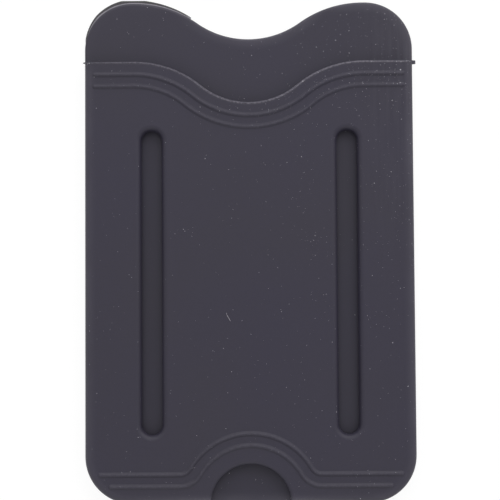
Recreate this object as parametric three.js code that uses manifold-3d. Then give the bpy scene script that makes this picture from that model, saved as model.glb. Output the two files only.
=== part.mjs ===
// Stick-on card holder for the back of a phone: one silicone moulding with a pocket for a card, the
// adhesive pad on its back, and the release liner that covers the adhesive until the holder is used.
// Millimetres. X runs across the holder, Y from its bottom edge to the pocket's mouth, and Z out of
// the front panel. The origin is the middle of the liner's back face, so the holder lies on z = 0.

import * as THREE from 'three';
import { mergeVertices } from 'three/addons/utils/BufferGeometryUtils.js';
import Module from 'manifold-3d';

const wasm = await Module();
wasm.setup();

// Card that the pocket takes
const cardWidth = 53.98;
const cardLength = 85.6;
const cardThickness = 0.76;
const cardSideClearance = 0.16;
const cardFaceClearance = 0.09;

// Walls of the moulding. The side wall is measured at its foot: the mould's draft takes some of it
// away by the height where the front edge's rounding starts.
const sideWall = 1.79;
const sideDraft = 0.19;
const bottomWall = 1.6;
const backWall = 1.0;
const frontWall = 1.2;

// Outline: four round corners, and a thumb dip between two humps along the back panel's top edge
const cornerRadius = 8.35;
const humpMargin = 0.82;
const humpFlat = 0.45;
const thumbDipDepth = 6.45;
const thumbDipRadius = 15.6;

// Mouth: the front panel's edge, which follows the humps lower down
const mouthSetback = 10.72;
const mouthDipDepth = 7.23;
const mouthDipRadius = 13.2;

// Rounding of the edges. The land is the upright wall that stays below a rounded rim.
const frontEdgeRadius = 1.15;
const panelEdgeRadius = 0.45;
const mouthEdgeRadius = 0.6;
const slotRimRadius = 1.05;
const notchRimRadius = 0.6;
const rimLand = 0.1;

// Two slots down the front panel
const slotWidth = 3.55;
const slotCentreInset = 11.84;
const slotTopMargin = 12.23;
const slotBottomMargin = 12.05;

// Push-out notch in the front panel's bottom edge
const notchRadius = 7.0;

// Raised beads: a pair along the mouth, and a pair along the bottom edge and round the notch
const beadWidth = 1.08;
const beadHeight = 0.32;
const beadTopWidth = 0.25;
const beadPitch = 2.05;
const beadsInPair = 2;
const mouthBeadInset = 2.36;
const notchBeadInset = 3.2;
const notchBeadBlend = 2.0;
const beadEndMargin = 1.7;

// Specks of moulding flash at the two ends of the mouth
const flashThickness = 0.3;
const rightFlashReach = 0.43;
const rightFlashBreadth = 0.67;
const rightFlashTip = 0.4;
const leftFlashReach = 0.21;
const leftFlashBreadth = 0.28;
const leftFlashTip = 0.08;

// Adhesive pad and release liner, die-cut sheets
const padThickness = 0.3;
const padInset = 1.5;
const linerThickness = 0.15;
const tabProud = 0.7;
const tabEnd = 10.3;
const tabDepth = 9.0;

// Fineness of the facets, and how far a cutting or joining shape runs past the face that it crosses
const arcSagitta = 0.01;
const filletSteps = 5;
const rimSteps = 4;
const overrun = 2.0;
const root = 0.2;

// Sizes that follow from the ones above
const halfTurn = Math.PI;
const quarterTurn = Math.PI / 2;
const pocketWidth = cardWidth + 2 * cardSideClearance;
const pocketGap = cardThickness + cardFaceClearance;
const pocketCornerRadius = cornerRadius - 2 * sideWall;
const bodyWidth = pocketWidth + 2 * sideWall;
const bodyHeight = bottomWall + cardLength + humpMargin;
const halfWidth = bodyWidth / 2;
const curveHalfWidth = halfWidth - cornerRadius - humpFlat;
const mouthHeight = bodyHeight - mouthSetback;
const bodyBack = linerThickness + padThickness;
const pocketFloor = bodyBack + backWall;
const pocketCeiling = pocketFloor + pocketGap;
const frontFace = pocketCeiling + frontWall;
const beadHalfWidth = beadWidth / 2;

// An outline is a list of arcs, and straight lines join each arc to the next. An arc whose end angle
// is larger than its start turns left, and one whose end angle is smaller turns right.
function arc(x, y, radius, from, to) {
  return { x, y, radius, from, to };
}

// Points of an arc moved inwards, which makes a left turn tighter and a right turn wider. The number
// of points comes from the arc as drawn, so that every inset of it has as many.
function arcPoints({ x, y, radius, from, to }, inset) {
  const turn = Math.sign(to - from);
  const stepAngle = 2 * Math.acos(1 - Math.min(arcSagitta / radius, 1));
  const steps = Math.max(2, Math.ceil(Math.abs(to - from) / stepAngle));
  const moved = radius - turn * inset;
  const curve = new THREE.EllipseCurve(x, y, moved, moved, from, to, turn < 0);
  return curve.getPoints(steps);
}

// Points of a whole outline. Where two arcs run into each other, their shared point is kept once.
function outlinePoints(outline, inset) {
  const drawn = outline.flatMap((piece) => arcPoints(piece, 0));
  const moved = outline.flatMap((piece) => arcPoints(piece, inset));
  const isNew = (point, index) => point.distanceTo(drawn.at(index - 1)) > 1e-6;
  return moved.filter((_, index) => isNew(drawn[index], index));
}

// Closed solid through rings of one outline, from the lowest to the highest. Each level is a pair:
// how far the ring lies inside the outline, and its height.
function solidThroughRings(outline, levels) {
  const rings = levels.map(([inset]) => outlinePoints(outline, inset));
  const count = rings[0].length;
  const positions = [];
  rings.forEach((ring, level) => {
    ring.forEach((point) => positions.push(point.x, point.y, levels[level][1]));
  });
  const indices = [];
  for (let level = 1; level < rings.length; level += 1) {
    for (let i = 0; i < count; i += 1) {
      const next = (i + 1) % count;
      const below = (level - 1) * count;
      const above = level * count;
      indices.push(below + i, below + next, above + next);
      indices.push(below + i, above + next, above + i);
    }
  }
  const top = (rings.length - 1) * count;
  for (const [a, b, c] of THREE.ShapeUtils.triangulateShape(rings[0], [])) {
    indices.push(c, b, a);
  }
  for (const [a, b, c] of THREE.ShapeUtils.triangulateShape(rings.at(-1), [])) {
    indices.push(top + a, top + b, top + c);
  }
  const geometry = new THREE.BufferGeometry();
  geometry.setAttribute('position', new THREE.Float32BufferAttribute(positions, 3));
  geometry.setIndex(indices);
  return toSolid(geometry);
}

function toSolid(geometry) {
  const bare = geometry.clone();
  bare.deleteAttribute('normal');
  bare.deleteAttribute('uv');
  const merged = mergeVertices(bare);
  const vertProperties = Float32Array.from(merged.getAttribute('position').array);
  const triVerts = Uint32Array.from(merged.getIndex().array);
  return new wasm.Manifold(new wasm.Mesh({ numProp: 3, vertProperties, triVerts }));
}

function toGeometry(solid) {
  const mesh = solid.getMesh();
  const geometry = new THREE.BufferGeometry();
  geometry.setAttribute('position', new THREE.Float32BufferAttribute(mesh.vertProperties, 3));
  geometry.setIndex(new THREE.Uint32BufferAttribute(mesh.triVerts, 1));
  geometry.computeVertexNormals();
  return geometry;
}

function block(lowX, highX, lowY, highY, lowZ, highZ) {
  const geometry = new THREE.BoxGeometry(highX - lowX, highY - lowY, highZ - lowZ);
  geometry.translate((lowX + highX) / 2, (lowY + highY) / 2, (lowZ + highZ) / 2);
  return toSolid(geometry);
}

// Levels of a plate with straight sides and rounded edges at its back and front
function plateLevels(back, front, backRadius, frontRadius) {
  const levels = [];
  for (let i = 0; i <= rimSteps && backRadius > 0; i += 1) {
    const angle = (quarterTurn * i) / rimSteps;
    levels.push([backRadius * (1 - Math.sin(angle)), back + backRadius * (1 - Math.cos(angle))]);
  }
  if (backRadius === 0) {
    levels.push([0, back]);
  }
  for (let i = 0; i <= filletSteps && frontRadius > 0; i += 1) {
    const angle = (quarterTurn * i) / filletSteps;
    levels.push([frontRadius * (1 - Math.cos(angle)), front - frontRadius * (1 - Math.sin(angle))]);
  }
  if (frontRadius === 0) {
    levels.push([0, front]);
  }
  return levels;
}

// The same levels with the mould's draft: the outline shrinks evenly from the widest line of the
// back panel up to where the front edge's rounding starts
function drafted(levels) {
  const low = bodyBack + panelEdgeRadius;
  const high = frontFace - frontEdgeRadius;
  return levels.map(([inset, z]) => {
    const share = Math.min(Math.max((z - low) / (high - low), 0), 1);
    return [inset + sideDraft * share, z];
  });
}

// Levels of a cutter whose hole gets a rounded rim: straight up to the rim, then flaring outwards
function rimmedCutLevels(floor, face, fullRimRadius) {
  const rimRadius = Math.min(fullRimRadius, frontWall - rimLand);
  const levels = [[0, floor]];
  for (let i = 0; i <= rimSteps; i += 1) {
    const angle = (quarterTurn * i) / rimSteps;
    levels.push([-rimRadius * (1 - Math.cos(angle)), face - rimRadius * (1 - Math.sin(angle))]);
  }
  levels.push([-rimRadius, face + overrun]);
  return levels;
}

// Right-hand hump, dip and left-hand hump of an S-curved edge, from right to left. Each hump's arc
// runs into the dip's arc without a corner, so the depth and the half-width set the turn.
function dippedEdge(humpHeight, depth, dipRadius, lowerBy) {
  const turn = 2 * Math.atan2(depth, curveHalfWidth);
  const humpRadius = curveHalfWidth / Math.sin(turn) - dipRadius;
  const humpY = humpHeight - humpRadius;
  const dipY = humpHeight - depth + dipRadius;
  return [
    arc(curveHalfWidth, humpY, humpRadius - lowerBy, quarterTurn, quarterTurn + turn),
    arc(0, dipY, dipRadius + lowerBy, -quarterTurn + turn, -quarterTurn - turn),
    arc(-curveHalfWidth, humpY, humpRadius - lowerBy, quarterTurn - turn, quarterTurn),
  ];
}

function bodyOutline() {
  const cornerX = halfWidth - cornerRadius;
  const topCornerY = bodyHeight - cornerRadius;
  return [
    arc(-cornerX, cornerRadius, cornerRadius, halfTurn, halfTurn + quarterTurn),
    arc(cornerX, cornerRadius, cornerRadius, -quarterTurn, 0),
    arc(cornerX, topCornerY, cornerRadius, 0, quarterTurn),
    ...dippedEdge(bodyHeight, thumbDipDepth, thumbDipRadius, 0),
    arc(-cornerX, topCornerY, cornerRadius, quarterTurn, halfTurn),
  ];
}

// Band that reaches past the holder's sides and bottom, with the mouth's curve as its upper edge
function mouthOutline() {
  const reach = halfWidth + overrun + cornerRadius;
  const corner = overrun / 2;
  return [
    arc(-reach, -overrun, corner, halfTurn, halfTurn + quarterTurn),
    arc(reach, -overrun, corner, -quarterTurn, 0),
    arc(reach, mouthHeight - corner, corner, 0, quarterTurn),
    ...dippedEdge(mouthHeight, mouthDipDepth, mouthDipRadius, 0),
    arc(-reach, mouthHeight - corner, corner, quarterTurn, halfTurn),
  ];
}

function pocketOutline() {
  const cornerX = pocketWidth / 2 - pocketCornerRadius;
  const lowY = bottomWall + pocketCornerRadius;
  const highY = bodyHeight + overrun;
  return [
    arc(-cornerX, lowY, pocketCornerRadius, halfTurn, halfTurn + quarterTurn),
    arc(cornerX, lowY, pocketCornerRadius, -quarterTurn, 0),
    arc(cornerX, highY, pocketCornerRadius, 0, quarterTurn),
    arc(-cornerX, highY, pocketCornerRadius, quarterTurn, halfTurn),
  ];
}

function slotOutline(centreX) {
  const endRadius = slotWidth / 2;
  const lowY = slotBottomMargin + endRadius;
  const highY = mouthHeight - slotTopMargin - endRadius;
  return [
    arc(centreX, lowY, endRadius, halfTurn, 2 * halfTurn),
    arc(centreX, highY, endRadius, 0, halfTurn),
  ];
}

// Half disc on the bottom edge, carried straight down past the edge
function notchOutline() {
  const lowY = -overrun - notchRadius;
  return [
    arc(0, lowY, notchRadius, halfTurn, 2 * halfTurn),
    arc(0, 0, notchRadius, 0, halfTurn),
  ];
}

// Closed outline of a bead along an open path of arcs, which runs from one end point to the other
// and leaves both ends straight along X
function beadOutline(start, path, end) {
  const side = (offset) => path.map((piece) => {
    const turn = Math.sign(piece.to - piece.from);
    return arc(piece.x, piece.y, piece.radius + turn * offset, piece.from, piece.to);
  });
  const turnedBack = side(-beadHalfWidth).reverse().map((piece) => {
    return arc(piece.x, piece.y, piece.radius, piece.to, piece.from);
  });
  return [
    arc(start.x, start.y, beadHalfWidth, quarterTurn, quarterTurn + halfTurn),
    ...side(beadHalfWidth),
    arc(end.x, end.y, beadHalfWidth, -quarterTurn, quarterTurn),
    ...turnedBack,
  ];
}

function mouthBeadOutline(inset) {
  const endX = halfWidth - beadEndMargin - beadHalfWidth;
  const y = mouthHeight - inset;
  const edge = dippedEdge(mouthHeight, mouthDipDepth, mouthDipRadius, inset);
  const path = edge.reverse().map((piece) => arc(piece.x, piece.y, piece.radius, piece.to, piece.from));
  return beadOutline({ x: -endX, y }, path, { x: endX, y });
}

// The bead runs level beside the notch, blends into an arc round it, and runs level again. Where it
// ends, it keeps its margin to the holder's round corner.
function notchBeadOutline(inset) {
  const lastInset = notchBeadInset + (beadsInPair - 1) * beadPitch;
  const blendY = lastInset + notchBeadBlend;
  const blendX = Math.sqrt((notchRadius + blendY) ** 2 - blendY ** 2);
  const blendRadius = notchBeadBlend + lastInset - inset;
  const turn = Math.atan2(blendX, blendY);
  const path = [
    arc(-blendX, blendY, blendRadius, -quarterTurn, -quarterTurn + turn),
    arc(0, 0, notchRadius + inset, quarterTurn + turn, quarterTurn - turn),
    arc(blendX, blendY, blendRadius, -quarterTurn - turn, -quarterTurn),
  ];
  const room = cornerRadius - beadEndMargin - beadHalfWidth;
  const rise = Math.min(Math.max(cornerRadius - inset, 0), room);
  const endX = halfWidth - cornerRadius + Math.sqrt(room ** 2 - rise ** 2);
  return beadOutline({ x: -endX, y: inset }, path, { x: endX, y: inset });
}

// Rounded bead with a narrow flat top, rooted a little below the front face
function bead(outline) {
  const slope = beadHalfWidth - beadTopWidth / 2;
  const levels = [[0, frontFace - root]];
  for (let i = 0; i <= rimSteps; i += 1) {
    const angle = (quarterTurn * i) / rimSteps;
    levels.push([slope * (1 - Math.cos(angle)), frontFace + beadHeight * Math.sin(angle)]);
  }
  return solidThroughRings(outline, levels);
}

// Speck of flash on the parting line at one end of the mouth: a thin tongue that narrows to its tip
function flash(side, reach, breadth, tip) {
  const shape = new THREE.Shape();
  const inner = side * (halfWidth - sideDraft - root);
  const outer = side * (halfWidth + reach);
  shape.moveTo(inner, mouthHeight - breadth);
  shape.lineTo(outer, mouthHeight - (breadth + tip) / 2);
  shape.lineTo(outer, mouthHeight - (breadth - tip) / 2);
  shape.lineTo(inner, mouthHeight);
  shape.closePath();
  const geometry = new THREE.ExtrudeGeometry(shape, { depth: flashThickness, bevelEnabled: false });
  geometry.translate(0, 0, pocketCeiling - flashThickness);
  return toSolid(geometry);
}

function frontPanelAndWalls() {
  const low = bodyBack + panelEdgeRadius;
  const levels = drafted(plateLevels(low, frontFace, 0, frontEdgeRadius));
  const outside = solidThroughRings(bodyOutline(), levels);
  const belowMouth = solidThroughRings(
    mouthOutline(),
    plateLevels(bodyBack - overrun, frontFace, 0, mouthEdgeRadius),
  );
  return outside.intersect(belowMouth);
}

function backPanel() {
  const levels = plateLevels(bodyBack, pocketFloor, panelEdgeRadius, panelEdgeRadius);
  return solidThroughRings(bodyOutline(), drafted(levels));
}

// The whole moulding: back panel, walls and front panel, with the beads on the front and the pocket,
// slots and notch cut out
function holderBody() {
  let body = backPanel().add(frontPanelAndWalls());
  for (let i = 0; i < beadsInPair; i += 1) {
    body = body.add(bead(mouthBeadOutline(mouthBeadInset + i * beadPitch)));
    body = body.add(bead(notchBeadOutline(notchBeadInset + i * beadPitch)));
  }
  body = body.subtract(solidThroughRings(pocketOutline(), [[0, pocketFloor], [0, pocketCeiling]]));
  const slotFloor = (pocketFloor + pocketCeiling) / 2;
  for (const side of [-1, 1]) {
    const outline = slotOutline(side * (halfWidth - slotCentreInset));
    const levels = rimmedCutLevels(slotFloor, frontFace, slotRimRadius);
    body = body.subtract(solidThroughRings(outline, levels));
  }
  const notchLevels = rimmedCutLevels(pocketFloor, frontFace, notchRimRadius);
  body = body.subtract(solidThroughRings(notchOutline(), notchLevels));
  body = body.add(flash(1, rightFlashReach, rightFlashBreadth, rightFlashTip));
  return body.add(flash(-1, leftFlashReach, leftFlashBreadth, leftFlashTip));
}

function adhesivePad() {
  return solidThroughRings(bodyOutline(), [[padInset, linerThickness], [padInset, bodyBack]]);
}

// The liner has the pad's outline, and a tab behind the left hump: the hump's own outline moved up,
// so that its edge stands out far enough for a fingernail
function releaseLiner() {
  const sheet = solidThroughRings(bodyOutline(), [[padInset, 0], [padInset, linerThickness]]);
  const whole = solidThroughRings(bodyOutline(), [[0, 0], [0, linerThickness]]);
  const corner = block(
    -halfWidth - overrun,
    -tabEnd,
    bodyHeight - tabDepth,
    bodyHeight + tabProud + overrun,
    -overrun,
    linerThickness + overrun,
  );
  return sheet.add(whole.translate([0, tabProud, 0]).intersect(corner));
}

const silicone = new THREE.MeshStandardMaterial({ color: 0x43414b, roughness: 0.7, metalness: 0 });
const foamTape = new THREE.MeshStandardMaterial({ color: 0x2b2a2e, roughness: 0.9, metalness: 0 });
const linerFilm = new THREE.MeshStandardMaterial({ color: 0x5b585e, roughness: 0.45, metalness: 0 });

function part(name, solid, material) {
  const mesh = new THREE.Mesh(toGeometry(solid), material);
  mesh.name = name;
  mesh.position.y = -bodyHeight / 2;
  return mesh;
}

const group = new THREE.Group();
group.add(part('holder_body', holderBody(), silicone));
group.add(part('adhesive_pad', adhesivePad(), foamTape));
group.add(part('release_liner', releaseLiner(), linerFilm));

export default group;
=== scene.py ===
"""Looks of the stick-on card holder: a matt silicone moulding on its adhesive pad and release liner."""

import math

import bmesh
import bpy
import numpy as np
from mathutils import Matrix, Vector
from mathutils.bvhtree import BVHTree


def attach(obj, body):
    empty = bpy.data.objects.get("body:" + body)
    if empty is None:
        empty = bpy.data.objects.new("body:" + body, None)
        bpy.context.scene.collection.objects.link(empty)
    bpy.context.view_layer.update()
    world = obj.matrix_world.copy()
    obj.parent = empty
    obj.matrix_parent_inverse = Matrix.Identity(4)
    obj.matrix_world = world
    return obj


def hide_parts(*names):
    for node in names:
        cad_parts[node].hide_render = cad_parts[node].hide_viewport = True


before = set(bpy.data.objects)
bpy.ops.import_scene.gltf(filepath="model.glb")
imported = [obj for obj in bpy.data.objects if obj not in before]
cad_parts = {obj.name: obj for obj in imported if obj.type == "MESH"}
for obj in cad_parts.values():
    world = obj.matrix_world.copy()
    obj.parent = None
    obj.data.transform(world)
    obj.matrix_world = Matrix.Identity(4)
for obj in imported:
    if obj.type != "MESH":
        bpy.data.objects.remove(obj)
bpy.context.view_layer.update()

MM = 0.001
HALF_TURN = math.pi
QUARTER_TURN = math.pi / 2

# Sizes of the moulding in millimetres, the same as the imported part's. X counts from the middle, Y from
# the bottom edge and Z from the surface that the holder lies on.
BODY_WIDTH = 57.88
BODY_HEIGHT = 88.02
CORNER_RADIUS = 8.35
SIDE_DRAFT = 0.19
HUMP_FLAT = 0.45
THUMB_DIP_DEPTH = 6.45
THUMB_DIP_RADIUS = 15.6
MOUTH_HEIGHT = 77.3
MOUTH_DIP_DEPTH = 7.23
MOUTH_DIP_RADIUS = 13.2
SIDE_WALL = 1.79
BOTTOM_WALL = 1.6
POCKET_CORNER_RADIUS = 4.77

# Heights
LINER_TOP = 0.15
BODY_BACK = 0.45
POCKET_FLOOR = 1.45
POCKET_CEILING = 2.3
FRONT_FACE = 3.5

# Rounding of the edges
FRONT_EDGE_RADIUS = 1.15
PANEL_EDGE_RADIUS = 0.45
MOUTH_EDGE_RADIUS = 0.6
SLOT_RIM_RADIUS = 1.05
NOTCH_RIM_RADIUS = 0.6
FILLET_STEPS = 10
CREASE_ANGLE = math.radians(32)

# Slots, notch and beads. A bead's foot is sunk a little, so that it meets the face in a clean line.
SLOT_WIDTH = 3.55
SLOT_X = 17.1
SLOT_LOW = 12.05
SLOT_HIGH = 65.07
NOTCH_RADIUS = 7.0
BEAD_HALF_WIDTH = 0.54
BEAD_HEIGHT = 0.31
BEAD_SINK = 0.004
BEAD_STEPS = 12
MOUTH_BEAD_INSETS = (2.36, 4.41)
NOTCH_BEAD_INSETS = (3.2, 5.25)
NOTCH_BEAD_BLEND = 2.0
BEAD_END_MARGIN = 1.5

# Fine ridge that the mould's parting line leaves along the mouth's lip
LIP_RIDGE_INSET = 0.3
LIP_RIDGE_HALF_WIDTH = 0.14
LIP_RIDGE_TOP = 0.03
LIP_RIDGE_ROUND = 0.9 * LIP_RIDGE_HALF_WIDTH
LIP_RIDGE_STEPS = 4

# Flash at the mouth's ends: reach, breadth at the root, and breadth at the tip
RIGHT_FLASH = (0.42, 0.7, 0.6)
LEFT_FLASH = (0.2, 0.28, 0.08)
FLASH_THICKNESS = 0.3
FLASH_RISE = 0.09

# Pad and liner. The reaches of the tab and of the adhesive beside it are given at four stations, the
# shares of the way from the tab's end over the hump and the corner to the side.
PAD_INSET = 1.5
TAB_END = 10.35
TAB_DEPTH = 9.0
TAB_TOP = 88.72
HUMP_STATIONS = (0, 0.5, 0.72, 1)
HUMP_STEPS = 64
TAB_PROUD = (0.42, 0.92, 0.75, 0.05)
SQUEEZE_REACH = (0.26, 0.36, 0.42, 0.05)
SQUEEZE_HEIGHT = 0.2
SQUEEZE_SINK = 0.01
SQUEEZE_ROOT = 0.6
SQUEEZE_THINNEST = 0.35
SQUEEZE_TAPERS = (12, 5)
SQUEEZE_STEPS = 5

# Pale dust and painted highlight on the lip: its strength at its left and right end, the drop of its
# rounding where it is at full strength, how many times smaller the rise of the ridge on it is that does
# the same, and how far past the mouth's curve it starts. Then a bead crest's painted highlight, and the
# spread over which a notch corner's painted highlight fades with distance squared.
LIP_DUST_AND_HIGHLIGHT = (0.45, 1.0)
LIP_HIGHLIGHT_DROP = 0.1
RIDGE_HIGHLIGHT_GAIN = 4
ABOVE_LIP = -0.05
BEAD_CREST_HIGHLIGHT = 0.09
NOTCH_CORNER_SPREAD = 0.6

# Dust: how many places are tried, the usual width of a speck, how its widths scatter, the widest one,
# the share that misses the slots' floors, the steepest ground that holds one, and how flat a speck is
SPECK_SEED = 7
SPECK_TRIES = 6500
SPECK_WIDTH = 0.068
SPECK_SPREAD = 0.42
SPECK_WIDEST = 0.15
SPECK_MISSES_SLOT = 0.8
SPECK_SLOPE = 0.3
SPECK_FLATNESS = 0.6
SPECK_NARROWEST = 0.6
SPECK_SIDES = 6
SPECK_RINGS = ((1.0, -0.12), (0.72, 0.3))
SPECK_CROWN = 0.5

# The boldest specks in the photo: x, y and width
BOLD_SPECKS = (
    (26.6, 75.5, 0.28), (-26.67, 69.06, 0.2), (9.48, 73.59, 0.24), (25.08, 70.1, 0.18), (17.4, 85.8, 0.15),
    (26.67, 66.8, 0.2), (22.2, 57.7, 0.17), (21.8, 55.6, 0.19), (24.7, 27.8, 0.19), (15.4, 81.2, 0.17),
    (14.85, 15.9, 0.18), (14.9, 16.9, 0.13), (17.05, 65.0, 0.17), (6.9, 0.9, 0.16), (10.6, 72.2, 0.13),
    (27.7, 77.05, 0.2), (28.0, 77.1, 0.2), (28.3, 77.0, 0.18), (-27.9, 77.0, 0.2), (-28.2, 76.9, 0.16),
    (26.0, 73.0, 0.17), (26.5, 73.2, 0.19), (25.3, 73.1, 0.16), (27.5, 73.1, 0.16), (25.9, 77.0, 0.18),
    (26.7, 76.9, 0.16), (21.5, 77.0, 0.16), (16.2, 79.1, 0.15), (12.0, 80.0, 0.17), (17.8, 78.9, 0.16),
    (22.5, 80.4, 0.15), (20.6, 72.2, 0.16), (19.9, 71.7, 0.14), (12.2, 75.1, 0.16), (13.6, 73.9, 0.15),
)

# Lint fibre: four points of its line as x, y and height over the panel, and its thickness
LINT_KNOTS = ((-4.1, 33.2, 0.03), (-4.0, 32.75, 0.05), (-3.75, 32.3, 0.03), (-3.42, 31.72, 0.09))
LINT_RADIUS = 0.032
LINT_STEPS = 24
LINT_SIDES = 6

# Sizes of the materials' patterns. From here on a material's places have their Y from the middle.
PATCH_SIZE = 6.0
CRUMB_SIZE = 0.35
PIGMENT_CLOUD_SIZE = 25.0
GRAIN_SIZE = 0.3
FOAM_CELL_SIZE = 0.4
SPECK_SHADE_SIZE = 0.5

# Pale dust and painted sheen along the edge: how far from the edge it reaches, how dense it is, between
# which heights the bare back panel starts, and how much of it is left on its left hump, from the first
# X to the second, so that less of it paints shade there
EDGE_DUST_AND_SHEEN_BREADTH = 2.3
EDGE_DUST_AND_SHEEN_STRENGTH = 0.074
MOUTH_ZONE = (31.0, 34.0)
LEFT_HUMP_ZONE = (-20.0, 4.0)
LEFT_HUMP_UNSHADED_SHARE = 0.15

# Pale streaks, which also paint the light from the upper right: how they are drawn out, how dense they
# get from the first X to the second, and how little of them is left at the lower of two Y
STREAK_STRETCH = (1.0, 0.06, 0.06)
STREAK_FINENESS = 1.6
STREAK_ZONE = (16.0, 29.0)
STREAK_STRENGTH = 0.034
STREAK_RISE = (-8.0, 30.0)
STREAK_LOW_SHARE = 0.12

# Painted shade on the pocket's floor under the front panel: the heights and the Y between which it
# ends, and how dark the painted shade is
POCKET_FLOOR_ZONE = (1.6, 2.2)
POCKET_MOUTH_ZONE = (21.0, 24.0)
POCKET_PAINTED_SHADE = 0.84

# Painted highlight on the end of the liner's tab, between these X and these Y
TAB_HIGHLIGHT_X = (-11.5, -10.5)
TAB_HIGHLIGHT_Y = (40.0, 40.5)
SCUFF_STRETCH = (1.0, 0.15, 1.0)
SCUFF_FINENESS = 2.0

# Surroundings, in metres. The floor lies a hair below the liner, so that their faces don't share a plane.
FLOOR_REACH = 3.0
FLOOR_LEVEL = -0.01 * MM
FLOOR_GLOW = 0.9
FLOOR_SEEN = (0.14, 0.14, 0.14, 1)
FLOOR_LIT = (0.85, 0.85, 0.85, 1)
SURROUND_LIGHT = 0.36
LAMP_DISTANCE = 0.8
LAMP_SIZE = 0.5
# Soft lamps: name, azimuth from +Y towards +X, elevation, and power
LAMPS = (
    ("low_key", 0, 25, 1.38),
    ("high_key", 0, 52, 1.0),
    ("right_fill", 45, 35, 1.95),
    ("left_fill", -45, 35, 0.7),
    ("front_fill", 180, 40, 1.0),
)

# Camera: distance and aim in millimetres, and how far it leans towards the bottom edge and rolls, in
# radians, from the photo's perspective
CAMERA_DISTANCE = 241.7
CAMERA_LEAN = 0.04776
CAMERA_ROLL = -0.0064
CAMERA_AIM = (0.047, 44.067, 3.5)
FOCAL_LENGTH = 100
SENSOR_WIDTH = 36
NEAREST_SEEN = 0.01

# How far a chord may lie from its arc, how far a cutter runs past the face that it crosses, how deep
# an added form is rooted, and below which step two points are one
SAGITTA = 0.002
OVERRUN = 2.0
ROOT = 0.2
SAME_POINT = 1e-6
WELD_DISTANCE = 1e-7


def arc(x, y, radius, start, end):
    """One arc of an outline. It turns left where its end angle is larger than its start."""
    return x, y, radius, start, end


def arc_points(piece, inset):
    """Points of an arc moved inwards: centre plus radius times (cos, sin) of evenly spaced angles."""
    x, y, radius, start, end = piece
    steps = max(3, math.ceil(abs(end - start) / (2 * math.acos(1 - SAGITTA / radius))))
    angles = np.linspace(start, end, steps + 1)
    moved = radius - inset * math.copysign(1, end - start)
    return np.column_stack([x + moved * np.cos(angles), y + moved * np.sin(angles)])


def outline_points(outline, inset=0.0):
    """Points of a closed outline, moved inwards, with the point that two arcs share kept once."""
    drawn = np.concatenate([arc_points(piece, 0.0) for piece in outline])
    moved = np.concatenate([arc_points(piece, inset) for piece in outline])
    is_new = np.linalg.norm(drawn - np.roll(drawn, 1, axis=0), axis=1) > SAME_POINT
    return moved[is_new]


def at_height(points, height):
    """Flat points as a ring at one height."""
    return np.column_stack([points, np.full(len(points), height)])


def mesh_object(name, points, faces):
    """A mesh object at the origin from points in millimetres, with Y counted from the bottom edge."""
    placed = (np.asarray(points) - (0.0, BODY_HEIGHT / 2, 0.0)) * MM
    mesh = bpy.data.meshes.new(name)
    mesh.from_pydata(placed.tolist(), [], faces)
    mesh.validate()
    made = bpy.data.objects.new(name, mesh)
    bpy.context.scene.collection.objects.link(made)
    return made


def solid_through(name, rings):
    """Closed solid through rings of equally many points: neighbouring rings are joined by quads, and
    the first and last are filled flat. Rings that run anticlockwise and rise have their faces outward."""
    rings = np.asarray(rings)
    rows, count = rings.shape[:2]
    here = np.arange(count)
    beyond = (here + 1) % count
    starts = np.arange(rows - 1)[:, None] * count
    corners = [starts + here, starts + beyond, starts + count + beyond, starts + count + here]
    quads = np.stack(corners, axis=-1).reshape(-1, 4).tolist()
    ends = [here[::-1].tolist(), (here + (rows - 1) * count).tolist()]
    return mesh_object(name, rings.reshape(-1, 3), quads + ends)


def loft(name, outline, levels):
    """Closed solid of one outline. Level k is the outline moved inwards by levels[k][0] at height
    levels[k][1]."""
    return solid_through(name, [at_height(outline_points(outline, inset), z) for inset, z in levels])


def face_outward(obj):
    """Turns a closed mesh's faces outward."""
    mesh = bmesh.new()
    mesh.from_mesh(obj.data)
    bmesh.ops.recalc_face_normals(mesh, faces=mesh.faces)
    mesh.to_mesh(obj.data)
    mesh.free()
    return obj


def quarter_round(radius, steps=FILLET_STEPS):
    """Pairs (how far in, how far down) of a quarter circle, from its upright end to its flat end."""
    angles = np.linspace(0, QUARTER_TURN, steps + 1)
    return list(zip(radius * (1 - np.cos(angles)), radius * (1 - np.sin(angles))))


def plate_levels(back, front, back_radius, front_radius):
    """Levels of a plate with straight sides and rounded back and front edges."""
    lower = [(inset, back + rise) for inset, rise in reversed(quarter_round(back_radius))]
    upper = [(inset, front - drop) for inset, drop in quarter_round(front_radius)]
    return (lower if back_radius else [(0.0, back)]) + (upper if front_radius else [(0.0, front)])


def drafted(levels):
    """The same levels with the mould's draft: the outline shrinks evenly from the widest line of the
    back panel up to where the front edge's rounding starts."""
    low, high = BODY_BACK + PANEL_EDGE_RADIUS, FRONT_FACE - FRONT_EDGE_RADIUS
    return [(inset + SIDE_DRAFT * min(1, max(0, (z - low) / (high - low))), z) for inset, z in levels]


def rimmed_cut_levels(floor, rim_radius):
    """Levels of a cutter that leaves a rounded rim: straight up, then flaring out to the front face."""
    rim = [(-inset, FRONT_FACE - drop) for inset, drop in quarter_round(rim_radius)]
    return [(0.0, floor), *rim, (-rim_radius, FRONT_FACE + OVERRUN)]


def dipped_edge(hump_height, depth, dip_radius, lower_by=0.0):
    """Hump, dip and hump of an S-curved edge, from right to left. The arcs run into each other, so
    half the turn between them has the tangent depth over half-width."""
    half_width = BODY_WIDTH / 2 - CORNER_RADIUS - HUMP_FLAT
    turn = 2 * math.atan2(depth, half_width)
    hump_radius = half_width / math.sin(turn) - dip_radius
    hump_y = hump_height - hump_radius
    dip_y = hump_height - depth + dip_radius
    small, large = hump_radius - lower_by, dip_radius + lower_by
    return [
        arc(half_width, hump_y, small, QUARTER_TURN, QUARTER_TURN + turn),
        arc(0, dip_y, large, turn - QUARTER_TURN, -turn - QUARTER_TURN),
        arc(-half_width, hump_y, small, QUARTER_TURN - turn, QUARTER_TURN),
    ]


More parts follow.
